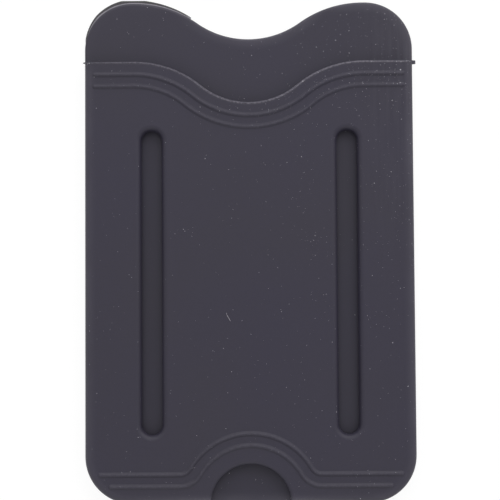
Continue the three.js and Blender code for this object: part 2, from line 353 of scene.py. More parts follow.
def rounded_box(half_width, low, high, radius, top_edge=()):
    """Outline of a box with four round corners, with an optional run of arcs along its top edge."""
    x, low_y, high_y = half_width - radius, low + radius, high - radius
    return [
        arc(-x, low_y, radius, HALF_TURN, HALF_TURN + QUARTER_TURN),
        arc(x, low_y, radius, -QUARTER_TURN, 0),
        arc(x, high_y, radius, 0, QUARTER_TURN),
        *top_edge,
        arc(-x, high_y, radius, QUARTER_TURN, HALF_TURN),
    ]


def body_outline():
    """Outline of the whole moulding: a box with round corners, and two humps and a dip along its top."""
    top = dipped_edge(BODY_HEIGHT, THUMB_DIP_DEPTH, THUMB_DIP_RADIUS)
    return rounded_box(BODY_WIDTH / 2, 0, BODY_HEIGHT, CORNER_RADIUS, top)


def mouth_outline():
    """Band that reaches past the sides and the bottom, with the mouth's curve as its top edge."""
    top = dipped_edge(MOUTH_HEIGHT, MOUTH_DIP_DEPTH, MOUTH_DIP_RADIUS)
    return rounded_box(BODY_WIDTH / 2 + 4 * OVERRUN, -OVERRUN, MOUTH_HEIGHT, 1.0, top)


def capsule(x, low, high, radius):
    """Outline of an upright slot: two half circles joined by straight sides."""
    return [
        arc(x, low, radius, HALF_TURN, 2 * HALF_TURN),
        arc(x, high, radius, 0, HALF_TURN),
    ]


def bead_outline(end_x, y, path, half_width=BEAD_HALF_WIDTH):
    """Closed outline of a bead along a path of arcs that starts and ends level, at plus and minus
    end_x: the path moved to its right, a half circle, the path moved to its left, a half circle."""
    right = [arc(x, py, r + math.copysign(half_width, b - a), a, b) for x, py, r, a, b in path]
    left = [arc(x, py, r - math.copysign(half_width, b - a), b, a) for x, py, r, a, b in path]
    return [
        arc(-end_x, y, half_width, QUARTER_TURN, QUARTER_TURN + HALF_TURN),
        *right,
        arc(end_x, y, half_width, -QUARTER_TURN, QUARTER_TURN),
        *reversed(left),
    ]


def along_mouth(inset):
    """The mouth's curve moved down by one distance, as a path from left to right."""
    edge = dipped_edge(MOUTH_HEIGHT, MOUTH_DIP_DEPTH, MOUTH_DIP_RADIUS, inset)
    return [arc(x, y, radius, end, start) for x, y, radius, start, end in reversed(edge)]


def mouth_bead(inset):
    """Bead at one distance below the mouth's curve."""
    end_x = BODY_WIDTH / 2 - BEAD_END_MARGIN - BEAD_HALF_WIDTH
    return bead_outline(end_x, MOUTH_HEIGHT - inset, along_mouth(inset))


def notch_bead(inset):
    """Bead that runs level above the bottom edge and round the notch, parallel to its neighbour."""
    blend_y = NOTCH_BEAD_INSETS[-1] + NOTCH_BEAD_BLEND
    blend_x = math.sqrt((NOTCH_RADIUS + blend_y) ** 2 - blend_y ** 2)
    blend_radius = blend_y - inset
    turn = math.atan2(blend_x, blend_y)
    path = [
        arc(-blend_x, blend_y, blend_radius, -QUARTER_TURN, turn - QUARTER_TURN),
        arc(0, 0, NOTCH_RADIUS + inset, QUARTER_TURN + turn, QUARTER_TURN - turn),
        arc(blend_x, blend_y, blend_radius, -QUARTER_TURN - turn, -QUARTER_TURN),
    ]
    room = CORNER_RADIUS - BEAD_END_MARGIN - BEAD_HALF_WIDTH
    rise = min(CORNER_RADIUS - inset, room)
    end_x = BODY_WIDTH / 2 - CORNER_RADIUS + math.sqrt(room ** 2 - rise ** 2)
    return bead_outline(end_x, inset, path)


def bead_levels():
    """Section of a bead: a bell of height h(1 - s^2)^2, where s goes from 1 at the foot to near 0."""
    across = np.linspace(1.0, 0.1, BEAD_STEPS)
    heights = FRONT_FACE - BEAD_SINK + BEAD_HEIGHT * (1 - across ** 2) ** 2
    return [(0.0, FRONT_FACE - ROOT), *zip(BEAD_HALF_WIDTH * (1 - across), heights)]


def lip_ridge():
    """Parting-line ridge on the lip's rounding, from side to side."""
    end_x = BODY_WIDTH / 2 - SIDE_DRAFT - FRONT_EDGE_RADIUS
    path = along_mouth(LIP_RIDGE_INSET)
    return bead_outline(end_x, MOUTH_HEIGHT - LIP_RIDGE_INSET, path, LIP_RIDGE_HALF_WIDTH)


def ridge_levels():
    """Section of the ridge: upright, then a quarter round pressed to half its height."""
    rounded = quarter_round(LIP_RIDGE_ROUND, LIP_RIDGE_STEPS)
    top = [(inset, FRONT_FACE + LIP_RIDGE_TOP - drop / 2) for inset, drop in rounded]
    return [(0.0, FRONT_FACE - ROOT * 2), *top]


def flash(name, side, reach, breadth, tip):
    """Thin tongue of silicone on the mould's parting line, from the side wall out to a blunt tip."""
    inner, outer = side * (BODY_WIDTH / 2 - ROOT), side * (BODY_WIDTH / 2 + reach)
    middle = MOUTH_HEIGHT + FLASH_RISE - breadth / 2
    corners = [
        (inner, middle - breadth / 2),
        (outer, middle - tip / 2),
        (outer, middle + tip / 2),
        (inner, middle + breadth / 2),
    ]
    border = corners[::side]
    return solid_through(name, [at_height(border, POCKET_CEILING - FLASH_THICKNESS),
                                at_height(border, POCKET_CEILING)])


def combine(base, other, operation):
    """Joins, cuts or crosses two closed meshes. The result is kept in the first, and the other goes."""
    step = base.modifiers.new(operation.lower(), "BOOLEAN")
    step.operation = operation
    step.solver = "MANIFOLD"
    step.object = other
    made = bpy.data.meshes.new_from_object(base.evaluated_get(bpy.context.evaluated_depsgraph_get()))
    base.modifiers.clear()
    base.data = made
    bpy.data.objects.remove(other)
    return base


def smooth_with_creases(obj):
    """Smooth shading that stops at real corners, with flat faces setting the normals beside them."""
    mesh = bmesh.new()
    mesh.from_mesh(obj.data)
    bmesh.ops.remove_doubles(mesh, verts=mesh.verts, dist=WELD_DISTANCE)
    mesh.to_mesh(obj.data)
    mesh.free()
    obj.data.shade_smooth()
    obj.data.set_sharp_from_angle(angle=CREASE_ANGLE)
    weighted = obj.modifiers.new("flat_faces_lead", "WEIGHTED_NORMAL")
    weighted.keep_sharp = True
    weighted.weight = 100


def silicone_moulding():
    """The whole moulding, joined and cut from lofts as its mould would be: back panel, front panel
    with walls, ridge and beads, pocket, slots, notch and flash."""
    low = BODY_BACK + PANEL_EDGE_RADIUS
    front = loft("front", body_outline(), drafted(plate_levels(low, FRONT_FACE, 0, FRONT_EDGE_RADIUS)))
    below_mouth = loft("mouth", mouth_outline(), plate_levels(-OVERRUN, FRONT_FACE, 0, MOUTH_EDGE_RADIUS))
    combine(front, below_mouth, "INTERSECT")
    panel_levels = plate_levels(BODY_BACK, POCKET_FLOOR, PANEL_EDGE_RADIUS, PANEL_EDGE_RADIUS)
    body = loft("silicone_moulding", body_outline(), drafted(panel_levels))
    combine(body, front, "UNION")
    combine(body, loft("ridge", lip_ridge(), ridge_levels()), "UNION")
    for inset in MOUTH_BEAD_INSETS:
        combine(body, loft("bead", mouth_bead(inset), bead_levels()), "UNION")
    for inset in NOTCH_BEAD_INSETS:
        combine(body, loft("bead", notch_bead(inset), bead_levels()), "UNION")
    pocket = rounded_box(
        BODY_WIDTH / 2 - SIDE_WALL, BOTTOM_WALL, BODY_HEIGHT + 4 * OVERRUN, POCKET_CORNER_RADIUS
    )
    combine(body, loft("pocket", pocket, [(0, POCKET_FLOOR), (0, POCKET_CEILING)]), "DIFFERENCE")
    slot_floor = (POCKET_FLOOR + POCKET_CEILING) / 2
    end_radius = SLOT_WIDTH / 2
    for side in (-1, 1):
        slot = capsule(side * SLOT_X, SLOT_LOW + end_radius, SLOT_HIGH - end_radius, end_radius)
        combine(body, loft("slot", slot, rimmed_cut_levels(slot_floor, SLOT_RIM_RADIUS)), "DIFFERENCE")
    notch = capsule(0, -OVERRUN - NOTCH_RADIUS, 0, NOTCH_RADIUS)
    combine(body, loft("notch", notch, rimmed_cut_levels(POCKET_FLOOR, NOTCH_RIM_RADIUS)), "DIFFERENCE")
    combine(body, flash("flash_right", 1, *RIGHT_FLASH), "UNION")
    combine(body, flash("flash_left", -1, *LEFT_FLASH), "UNION")
    smooth_with_creases(body)
    return body


def mouth_distance(x, y):
    """How far points lie below the mouth's curve: for each the distance to the arc that spans its x."""
    (hump_x, hump_y, hump_radius, _, _), (_, dip_y, dip_radius, low, _), _ = dipped_edge(
        MOUTH_HEIGHT, MOUTH_DIP_DEPTH, MOUTH_DIP_RADIUS
    )
    x = np.abs(x)
    change_x = dip_radius * math.cos(low)
    on_dip = np.hypot(x, y - dip_y) - dip_radius
    on_hump = hump_radius - np.hypot(x - hump_x, y - hump_y)
    return np.where(x < change_x, on_dip, np.where(x < hump_x, on_hump, MOUTH_HEIGHT - y))


def mark_dust_and_highlight_edges(obj):
    """Marks a point attribute, 0 on the flats and up to 1 on the high spots: pale dust and a painted
    highlight on the lip, growing with the drop of the rounding, a painted highlight on a bead, growing with
    its height, and one at the notch's two lower corners, growing with nearness to them."""
    mesh = obj.data
    points = np.empty(len(mesh.vertices) * 3)
    mesh.vertices.foreach_get("co", points)
    x, y, z = (points.reshape(-1, 3) / MM).T
    y = y + BODY_HEIGHT / 2
    below = mouth_distance(x, y)
    flat_half = BODY_WIDTH / 2 - SIDE_DRAFT - FRONT_EDGE_RADIUS
    near_lip = (below > ABOVE_LIP) & (below < MOUTH_EDGE_RADIUS) & (np.abs(x) < flat_half)
    near_lip &= z > FRONT_FACE - MOUTH_EDGE_RADIUS
    # Painted highlight, with dust on the lip: pale where the lip, its ridge, the bead crests and the notch's
    # lower corners catch the light
    off_face = np.maximum(FRONT_FACE - z, (z - FRONT_FACE) * RIDGE_HIGHLIGHT_GAIN)
    lip = np.where(near_lip, np.clip(off_face / LIP_HIGHLIGHT_DROP, 0, 1), 0)
    lip *= LIP_DUST_AND_HIGHLIGHT[0] + (LIP_DUST_AND_HIGHLIGHT[1] - LIP_DUST_AND_HIGHLIGHT[0]) * np.clip(x / BODY_WIDTH + 0.5, 0, 1)
    bead = np.clip((z - FRONT_FACE) / BEAD_HEIGHT, 0, 1) * BEAD_CREST_HIGHLIGHT
    from_corner = np.hypot(np.abs(x) - NOTCH_RADIUS - NOTCH_RIM_RADIUS, y)
    corner = np.where(z > POCKET_CEILING, np.exp(-from_corner ** 2 / NOTCH_CORNER_SPREAD), 0)
    dust_and_highlight = np.maximum(np.maximum(lip, bead), corner)
    layer = mesh.attributes.new("dust_and_highlight_edge", "FLOAT", "POINT")
    layer.data.foreach_set("value", dust_and_highlight.astype(np.float32))


def hump_line(reach):
    """The body's outline round the left hump from the tab's end to the side, and the way out from it.
    Its length runs through the reaches at the four stations."""
    *_, left_hump, left_corner = body_outline()
    edge = np.concatenate([arc_points(left_hump, 0), arc_points(left_corner, 0)[1:]])
    edge = edge[(edge[:, 0] < -TAB_END) & (edge[:, 1] > BODY_HEIGHT - TAB_DEPTH)]
    along = np.concatenate([[0], np.cumsum(np.linalg.norm(np.diff(edge, axis=0), axis=1))])
    even = np.linspace(0, along[-1], HUMP_STEPS)
    line = np.column_stack([np.interp(even, along, edge[:, i]) for i in (0, 1)])
    ahead = np.gradient(line, axis=0)
    out = np.column_stack([ahead[:, 1], -ahead[:, 0]]) / np.linalg.norm(ahead, axis=1)[:, None]
    return line, out * np.interp(even / even[-1], HUMP_STATIONS, reach)[:, None]


def release_liner():
    """Release film: the pad's outline, and the finger tab that stands out behind the left hump. The
    tab was cut a little askew, so it stands out further towards the corner."""
    line, out = hump_line(TAB_PROUD)
    outer = line + out
    outer[:, 1] = np.minimum(outer[:, 1], TAB_TOP)
    outer[:, 0] = np.maximum(outer[:, 0], -BODY_WIDTH / 2)
    tab_foot = BODY_HEIGHT - TAB_DEPTH
    border = np.concatenate([outer, [(-BODY_WIDTH / 2, tab_foot), (-TAB_END, tab_foot)]])
    tab = solid_through("tab", [at_height(border, 0.0), at_height(border, LINER_TOP)])
    film = loft("release_film", body_outline(), [(PAD_INSET, 0.0), (PAD_INSET, LINER_TOP)])
    return combine(film, tab, "UNION")


def squeezed_adhesive():
    """Pale line of adhesive between the back panel and the tab: a quarter-ellipse fillet carried along
    the hump, highest against the panel, thinner at both ends and rooted under the panel."""
    line, out = hump_line(SQUEEZE_REACH)
    first, last = SQUEEZE_TAPERS
    taper = np.clip(np.linspace(0, first, HUMP_STEPS), 0, 1) * np.clip(np.linspace(last, 0, HUMP_STEPS), 0, 1)
    across = (SQUEEZE_THINNEST + (1 - SQUEEZE_THINNEST) * taper)[:, None]
    foot = LINER_TOP - SQUEEZE_SINK
    sections = [np.column_stack([line - out * SQUEEZE_ROOT, np.full(HUMP_STEPS, foot)])]
    for turn in np.linspace(0, QUARTER_TURN, SQUEEZE_STEPS):
        inward = SQUEEZE_ROOT if turn == QUARTER_TURN else 0
        place = line + out * (np.cos(turn) * across - inward)
        sections.append(np.column_stack([place, foot + SQUEEZE_HEIGHT * np.sin(turn) * across]))
    return face_outward(solid_through("squeezed_adhesive", np.stack(sections, axis=1)))


def risen(x, middle, breadth):
    """Share that rises from 0 to 1 round a middle, as the logistic curve of x over the breadth."""
    return 1 / (1 + np.exp(-(x - middle) / breadth))


def speck_density(x, y):
    """Share of the dust that stays, from 0 to 1: thin on the left, thicker to the upper right, and
    thickest on the band round the mouth, where hands and cards rub. The band is a bell 2 mm wide about
    a line 2.2 mm below the mouth's curve."""
    right = risen(x, middle=4, breadth=5)
    far_right = risen(x, middle=17, breadth=3)
    upper = risen(y, middle=42, breadth=8)
    band = np.exp(-((mouth_distance(x, y) - 2.2) / 2.0) ** 2)
    open_panel = 0.1 + 0.08 * right + 0.1 * right * upper + 0.25 * far_right * upper
    return np.clip(open_panel + band * (0.12 + 0.75 * right), 0, 1)


def dust_places(rng):
    """Centres and widths of the specks: even random places, thinned by the density, with widths that
    scatter as the exponential of a normal spread, and the boldest ones added."""
    x = rng.uniform(-BODY_WIDTH / 2, BODY_WIDTH / 2, SPECK_TRIES)
    y = rng.uniform(0, BODY_HEIGHT, SPECK_TRIES)
    keep = rng.uniform(0, 1, SPECK_TRIES) < speck_density(x, y)
    width = np.minimum(SPECK_WIDTH * np.exp(SPECK_SPREAD * rng.normal(size=SPECK_TRIES)), SPECK_WIDEST)
    in_slot = (np.abs(np.abs(x) - SLOT_X) < SLOT_WIDTH / 2) & (y > SLOT_LOW) & (y < SLOT_HIGH)
    keep &= ~(in_slot & (rng.uniform(0, 1, SPECK_TRIES) < SPECK_MISSES_SLOT))
    return np.concatenate([np.column_stack([x, y, width])[keep], BOLD_SPECKS])


def speck_dome():
    """One speck of radius 1: two rings and a crown, and its side, top and foot faces."""
    angles = np.arange(SPECK_SIDES) * 2 * HALF_TURN / SPECK_SIDES
    rings = [at_height(np.column_stack([np.cos(angles), np.sin(angles)]) * r, h) for r, h in SPECK_RINGS]
    points = np.concatenate([*rings, [(0, 0, SPECK_CROWN)]])
    pairs = [(i, (i + 1) % SPECK_SIDES) for i in range(SPECK_SIDES)]
    skirt = [(i, j, j + SPECK_SIDES, i + SPECK_SIDES) for i, j in pairs]
    crown = [(i + SPECK_SIDES, j + SPECK_SIDES, 2 * SPECK_SIDES) for i, j in pairs]
    return points, [*skirt, *crown, tuple(range(SPECK_SIDES))[::-1]]


def tree_of(obj):
    """Search tree over a mesh, in metres."""
    mesh = bmesh.new()
    mesh.from_mesh(obj.data)
    found = BVHTree.FromBMesh(mesh)
    mesh.free()
    return found


def dust_specks(carrier):
    """Dust: low domes, each a little oval and turned at random, set on what lies under them and tipped
    to its slope."""
    rng = np.random.default_rng(SPECK_SEED)
    ground = tree_of(carrier)
    dome, dome_faces = speck_dome()
    points, faces = [], []
    for x, y, width in dust_places(rng):
        above = Vector((x, y - BODY_HEIGHT / 2, FRONT_FACE + OVERRUN)) * MM
        hit, normal, _, _ = ground.ray_cast(above, Vector((0, 0, -1)))
        if hit is None or normal.z < SPECK_SLOPE:
            continue
        spin, oval = rng.uniform(0, HALF_TURN), rng.uniform(SPECK_NARROWEST, 1.0)
        side = normal.cross(Vector((math.sin(spin), math.cos(spin), 0))).normalized()
        axes = np.array([side, normal.cross(side) * oval, normal * SPECK_FLATNESS]) * width / 2
        start = len(points) * len(dome)
        points.append(dome @ axes + np.array(hit) / MM)
        faces += [tuple(start + i for i in face) for face in dome_faces]
    cloud = np.concatenate(points) + (0.0, BODY_HEIGHT / 2, 0.0)
    return mesh_object("dust_specks", cloud, faces)


def lint_fibre():
    """Lint fibre on the panel: a thin tube round the cubic through four points, with one end a little
    raised. Its radius narrows at both ends as the root of 1 - s^8, where s goes from -1 to 1, and
    keeps a blunt tip."""
    knots = np.array(LINT_KNOTS)
    share = np.linspace(0, 1, LINT_STEPS)
    cubic = np.polynomial.polynomial.polyfit(np.linspace(0, 1, len(knots)), knots, 3)
    line = np.polynomial.polynomial.polyval(share, cubic).T + (0, 0, FRONT_FACE)
    ahead = np.gradient(line, axis=0)
    ahead /= np.linalg.norm(ahead, axis=1)[:, None]
    side = np.cross(ahead, (0, 0, 1))
    side /= np.linalg.norm(side, axis=1)[:, None]
    over = np.cross(side, ahead)
    radius = LINT_RADIUS * np.sqrt(np.clip(1 - (2 * share - 1) ** 8, 0.05, 1))[:, None, None]
    angles = (np.arange(LINT_SIDES) * 2 * HALF_TURN / LINT_SIDES)[:, None]
    rings = line[:, None] + radius * (np.cos(angles) * side[:, None] + np.sin(angles) * over[:, None])
    return face_outward(solid_through("lint_fibre", rings))


def linear(hex_colour):
    """Linear RGBA of an sRGB hex colour."""
    parts = [int(hex_colour[i:i + 2], 16) / 255 for i in (1, 3, 5)]
    return (*[c / 12.92 if c <= 0.04045 else ((c + 0.055) / 1.055) ** 2.4 for c in parts], 1.0)


def node(tree, kind, inputs=None, **settings):
    """Adds a node with its settings. An input given as a socket is linked, and any other is set."""
    made = tree.nodes.new(kind)
    for name, value in settings.items():
        setattr(made, name, value)
    for key, value in (inputs or {}).items():
        if isinstance(value, bpy.types.NodeSocket):
            tree.links.new(value, made.inputs[key])
        else:
            made.inputs[key].default_value = value
    return made


def new_material(name, roughness, ior):
    """Material with a plain shader, its tree, the shader, and the piece's own place in millimetres.
    That place has its Y from the body's middle."""
    material = bpy.data.materials.new(name)
    material.use_nodes = True
    tree = material.node_tree
    shader = tree.nodes["Principled BSDF"]
    shader.inputs["Roughness"].default_value = roughness
    shader.inputs["IOR"].default_value = ior
    place = node(tree, "ShaderNodeTexCoord").outputs["Object"]
    scaled = node(tree, "ShaderNodeVectorMath", {0: place, "Scale": 1 / MM}, operation="SCALE")
    return material, tree, shader, scaled.outputs[0]


def dress(obj, material):
    """Gives an object one material in place of those that it has."""
    obj.data.materials.clear()
    obj.data.materials.append(material)


def distance_from_edge(tree, mm):
    """How far a point lies inside the body's outline, seen from above: from the box with round corners
    or, where it is nearer, from the thumb dip, with a smooth change between them."""
    core = (BODY_WIDTH / 2 - CORNER_RADIUS, BODY_HEIGHT / 2 - CORNER_RADIUS, 0.0)
    dip_centre = (0, BODY_HEIGHT / 2 - THUMB_DIP_DEPTH + THUMB_DIP_RADIUS, 0)
    flat = node(tree, "ShaderNodeVectorMath", {0: mm, 1: (1, 1, 0)}, operation="MULTIPLY").outputs[0]
    folded = node(tree, "ShaderNodeVectorMath", {0: flat}, operation="ABSOLUTE").outputs[0]
    past_core = node(tree, "ShaderNodeVectorMath", {0: folded, 1: core}, operation="SUBTRACT").outputs[0]
    outer = node(tree, "ShaderNodeVectorMath", {0: past_core, 1: (0, 0, 0)}, operation="MAXIMUM").outputs[0]
    rounded = node(tree, "ShaderNodeVectorMath", {0: outer}, operation="LENGTH").outputs["Value"]
    split = node(tree, "ShaderNodeSeparateXYZ", {0: past_core}).outputs
    larger = node(tree, "ShaderNodeMath", {0: split[0], 1: split[1]}, operation="MAXIMUM").outputs[0]
    inner = node(tree, "ShaderNodeMath", {0: larger, 1: 0.0}, operation="MINIMUM").outputs[0]
    reach = node(tree, "ShaderNodeMath", {0: rounded, 1: inner}, operation="ADD").outputs[0]
    to_box = node(tree, "ShaderNodeMath", {0: CORNER_RADIUS, 1: reach}, operation="SUBTRACT").outputs[0]
    ray = node(tree, "ShaderNodeVectorMath", {0: flat, 1: dip_centre}, operation="SUBTRACT").outputs[0]
    length = node(tree, "ShaderNodeVectorMath", {0: ray}, operation="LENGTH").outputs["Value"]
    to_dip = node(tree, "ShaderNodeMath", {0: length, 1: THUMB_DIP_RADIUS}, operation="SUBTRACT").outputs[0]
    return node(tree, "ShaderNodeMath", {0: to_box, 1: to_dip, 2: 1.0}, operation="SMOOTH_MIN").outputs[0]


def edge_dust_and_sheen(tree, mm, x, y):
    """Pale dust and painted sheen along the body's edge, in patches; less on the left hump, as painted shade.
    """
    film = node(
        tree, "ShaderNodeMapRange",
        {0: distance_from_edge(tree, mm), 1: 0.0, 2: EDGE_DUST_AND_SHEEN_BREADTH, 3: EDGE_DUST_AND_SHEEN_STRENGTH, 4: 0.0},
        interpolation_type="SMOOTHSTEP",
    ).outputs[0]
    patches = node(tree, "ShaderNodeTexNoise", {"Vector": mm, "Scale": 1 / PATCH_SIZE, "Detail": 3.0})
    patchy = node(
        tree, "ShaderNodeMapRange", {0: patches.outputs[0], 1: 0.3, 2: 0.7, 3: 0.75, 4: 1.3}
    ).outputs[0]
    film = node(tree, "ShaderNodeMath", {0: film, 1: patchy}, operation="MULTIPLY").outputs[0]
    # Painted shade: less of the pale edge on the back panel's left hump, above the mouth
    from_x, to_x = LEFT_HUMP_ZONE
    painted_shade_leftward = node(
        tree, "ShaderNodeMapRange", {0: x, 1: from_x, 2: to_x, 3: LEFT_HUMP_UNSHADED_SHARE, 4: 1.0}
    ).outputs[0]
    from_y, to_y = MOUTH_ZONE
    above_mouth = node(tree, "ShaderNodeMapRange", {0: y, 1: from_y, 2: to_y}).outputs[0]
    unshaded_share = node(tree, "ShaderNodeMix", {0: above_mouth, 2: 1.0, 3: painted_shade_leftward}, data_type="FLOAT").outputs[0]
    return node(tree, "ShaderNodeMath", {0: film, 1: unshaded_share}, operation="MULTIPLY").outputs[0]


def streaks_and_painted_light(tree, mm, x, y):
    """Faint pale upright streaks, about 0.5 mm wide, that also paint light: denser to the right and upwards.
    """
    drawn_out = node(tree, "ShaderNodeVectorMath", {0: mm, 1: STREAK_STRETCH}, operation="MULTIPLY")
    noise = node(
        tree, "ShaderNodeTexNoise", {"Vector": drawn_out.outputs[0], "Scale": STREAK_FINENESS, "Detail": 2.0}
    )
    streaks = node(
        tree, "ShaderNodeMapRange", {0: noise.outputs[0], 1: 0.38, 2: 0.7, 3: 0.0, 4: 1.0}
    ).outputs[0]
    # Painted light: the streaks grow stronger to the right and upwards, towards the light
    from_x, to_x = STREAK_ZONE
    to_right = node(
        tree, "ShaderNodeMapRange",
        {0: x, 1: from_x, 2: to_x, 3: 0.0, 4: STREAK_STRENGTH}, interpolation_type="SMOOTHSTEP",
    ).outputs[0]
    from_y, to_y = STREAK_RISE
    upwards = node(
        tree, "ShaderNodeMapRange",
        {0: y, 1: from_y, 2: to_y, 3: STREAK_LOW_SHARE, 4: 1.0}, interpolation_type="SMOOTHSTEP",
    ).outputs[0]
    streaks_to_right = node(tree, "ShaderNodeMath", {0: streaks, 1: to_right}, operation="MULTIPLY").outputs[0]
    return node(tree, "ShaderNodeMath", {0: streaks_to_right, 1: upwards}, operation="MULTIPLY").outputs[0]


def painted_pocket_shade(tree, y, z):
    """1, and less on the pocket's floor below the mouth, seen through the slots: painted shade in the
    recess under the front panel."""
    floor_z, ceiling_z = POCKET_FLOOR_ZONE
    deep = node(tree, "ShaderNodeMapRange", {0: z, 1: floor_z, 2: ceiling_z, 3: 1.0, 4: 0.0}).outputs[0]
    from_y, to_y = POCKET_MOUTH_ZONE
    covered = node(tree, "ShaderNodeMapRange", {0: y, 1: from_y, 2: to_y, 3: 1.0, 4: 0.0}).outputs[0]
    shaded_recess = node(tree, "ShaderNodeMath", {0: deep, 1: covered}, operation="MULTIPLY").outputs[0]
    return node(tree, "ShaderNodeMapRange", {0: shaded_recess, 3: 1.0, 4: POCKET_PAINTED_SHADE}).outputs[0]


def moulded_silicone():
    """Matt compression-moulded silicone: dark charcoal with a violet cast. The mould's spark-eroded
    skin gives it a fine even grain and no gloss. Its edges and high spots carry pale dust with painted
    sheen and highlights, and the pocket's floor has painted shade."""
    material, tree, shader, mm = new_material("matt_moulded_silicone", 0.55, 1.41)
    x, y, z = node(tree, "ShaderNodeSeparateXYZ", {0: mm}).outputs
    # Two batches of pigment, kneaded in: a grey and a violet one, in large clouds
    clouds = node(
        tree, "ShaderNodeTexNoise", {"Vector": mm, "Scale": 1 / PIGMENT_CLOUD_SIZE, "Detail": 2.0}
    ).outputs[0]
    kneaded = node(
        tree, "ShaderNodeMix", {0: clouds, 6: linear("#2d2a34"), 7: linear("#2b2839")}, data_type="RGBA"
    ).outputs[2]
    # The grain is really about 0.05 mm. It is drawn at 0.3 mm, because a finer one doesn't show.
    grain = node(
        tree, "ShaderNodeTexNoise",
        {"Vector": mm, "Scale": 1 / GRAIN_SIZE, "Detail": 3.0, "Roughness": 0.7},
    ).outputs[0]
    grainy = node(tree, "ShaderNodeMapRange", {0: grain, 1: 0.25, 2: 0.75, 3: 0.86, 4: 1.14}).outputs[0]
    shade = node(
        tree, "ShaderNodeMath", {0: grainy, 1: painted_pocket_shade(tree, y, z)}, operation="MULTIPLY"
    ).outputs[0]
    skin = node(tree, "ShaderNodeVectorMath", {0: kneaded, "Scale": shade}, operation="SCALE").outputs[0]
    # Dust and painted highlight on the lip, the beads and the notch's corners, broken into crumbs, lie
    # over the edge's pale dust and painted sheen and the streaks with their painted light
    dust_and_highlight = node(tree, "ShaderNodeAttribute", attribute_name="dust_and_highlight_edge").outputs["Fac"]
    crumbs = node(tree, "ShaderNodeTexNoise", {"Vector": mm, "Scale": 1 / CRUMB_SIZE, "Detail": 2.0})
    crumbled = node(
        tree, "ShaderNodeMapRange", {0: crumbs.outputs[0], 1: 0.35, 2: 0.7, 3: 0.12, 4: 0.6}
    ).outputs[0]
    film = node(
        tree, "ShaderNodeMath",
        {0: edge_dust_and_sheen(tree, mm, x, y), 1: streaks_and_painted_light(tree, mm, x, y)}, operation="ADD",
    ).outputs[0]
    dust = node(tree, "ShaderNodeMath", {0: dust_and_highlight, 1: crumbled, 2: film}, operation="MULTIPLY_ADD").outputs[0]
    dust_and_light_colour = node(tree, "ShaderNodeMix", {0: dust, 6: skin, 7: linear("#a5a1ad")}, data_type="RGBA").outputs[2]
    tree.links.new(dust_and_light_colour, shader.inputs["Base Color"])
    dull = node(tree, "ShaderNodeMapRange", {0: grain, 1: 0.3, 2: 0.7, 3: 0.5, 4: 0.6}).outputs[0]
    tree.links.new(dull, shader.inputs["Roughness"])
    eroded = node(tree, "ShaderNodeBump", {"Height": grain, "Strength": 0.12, "Distance": 0.02 * MM})
    tree.links.new(eroded.outputs[0], shader.inputs["Normal"])
    return material


def release_film():
    """Silicone-coated polyester release film, rolled and die-cut: a satin dark sheet with faint scuffs
    about 3 mm long across its feed, and a painted highlight on an end of the tab."""
    material, tree, shader, mm = new_material("release_film", 0.4, 1.5)
    x, y, _ = node(tree, "ShaderNodeSeparateXYZ", {0: mm}).outputs
    drawn_out = node(tree, "ShaderNodeVectorMath", {0: mm, 1: SCUFF_STRETCH}, operation="MULTIPLY")
    scuffs = node(
        tree, "ShaderNodeTexNoise", {"Vector": drawn_out.outputs[0], "Scale": SCUFF_FINENESS, "Detail": 3.0}
    ).outputs[0]
    scuffed = node(
        tree, "ShaderNodeMix", {0: scuffs, 6: linear("#29262b"), 7: linear("#454247")}, data_type="RGBA"
    ).outputs[2]
    # Painted highlight: a pale patch on the tab's end
    (from_x, to_x), (from_y, to_y) = TAB_HIGHLIGHT_X, TAB_HIGHLIGHT_Y
    to_end = node(tree, "ShaderNodeMapRange", {0: x, 1: from_x, 2: to_x}).outputs[0]
    on_tab = node(tree, "ShaderNodeMapRange", {0: y, 1: from_y, 2: to_y}).outputs[0]
    lit_tab_end = node(tree, "ShaderNodeMath", {0: to_end, 1: on_tab}, operation="MULTIPLY").outputs[0]
    tone = node(tree, "ShaderNodeMix", {0: lit_tab_end, 6: scuffed, 7: linear("#8c8a91")}, data_type="RGBA")
    tree.links.new(tone.outputs[2], shader.inputs["Base Color"])
    satin = node(tree, "ShaderNodeMapRange", {0: scuffs, 1: 0.3, 2: 0.7, 3: 0.34, 4: 0.5}).outputs[0]
    tree.links.new(satin, shader.inputs["Roughness"])
    return material


def acrylic_adhesive():
    """Acrylic adhesive squeezed out of the pad, in cloudy pale grey tones."""
    material, tree, shader, mm = new_material("acrylic_adhesive", 0.5, 1.47)
    cloudy = node(tree, "ShaderNodeTexNoise", {"Vector": mm, "Scale": 1.2, "Detail": 2.0}).outputs[0]
    tones = {0: cloudy, 6: linear("#6f6b74"), 7: linear("#928f97")}
    tone = node(tree, "ShaderNodeMix", tones, data_type="RGBA")
    tree.links.new(tone.outputs[2], shader.inputs["Base Color"])
    return material


def acrylic_foam_tape():
    """Closed-cell acrylic foam tape, cast and die-cut: dead matt, with cells that show as a fine
    mottle. The cells are about 0.1 mm, drawn at 0.4 mm so that they show."""
    material, tree, shader, mm = new_material("acrylic_foam_tape", 0.85, 1.47)
    voronoi = node(tree, "ShaderNodeTexVoronoi", {"Vector": mm, "Scale": 1 / FOAM_CELL_SIZE})
    cells = voronoi.outputs["Distance"]
    tones = {0: cells, 6: linear("#211f24"), 7: linear("#35333a")}
    tone = node(tree, "ShaderNodeMix", tones, data_type="RGBA")
    tree.links.new(tone.outputs[2], shader.inputs["Base Color"])
    pitted = node(tree, "ShaderNodeBump", {"Height": cells, "Strength": 0.3, "Distance": 0.05 * MM})
    tree.links.new(pitted.outputs[0], shader.inputs["Normal"])
    return material


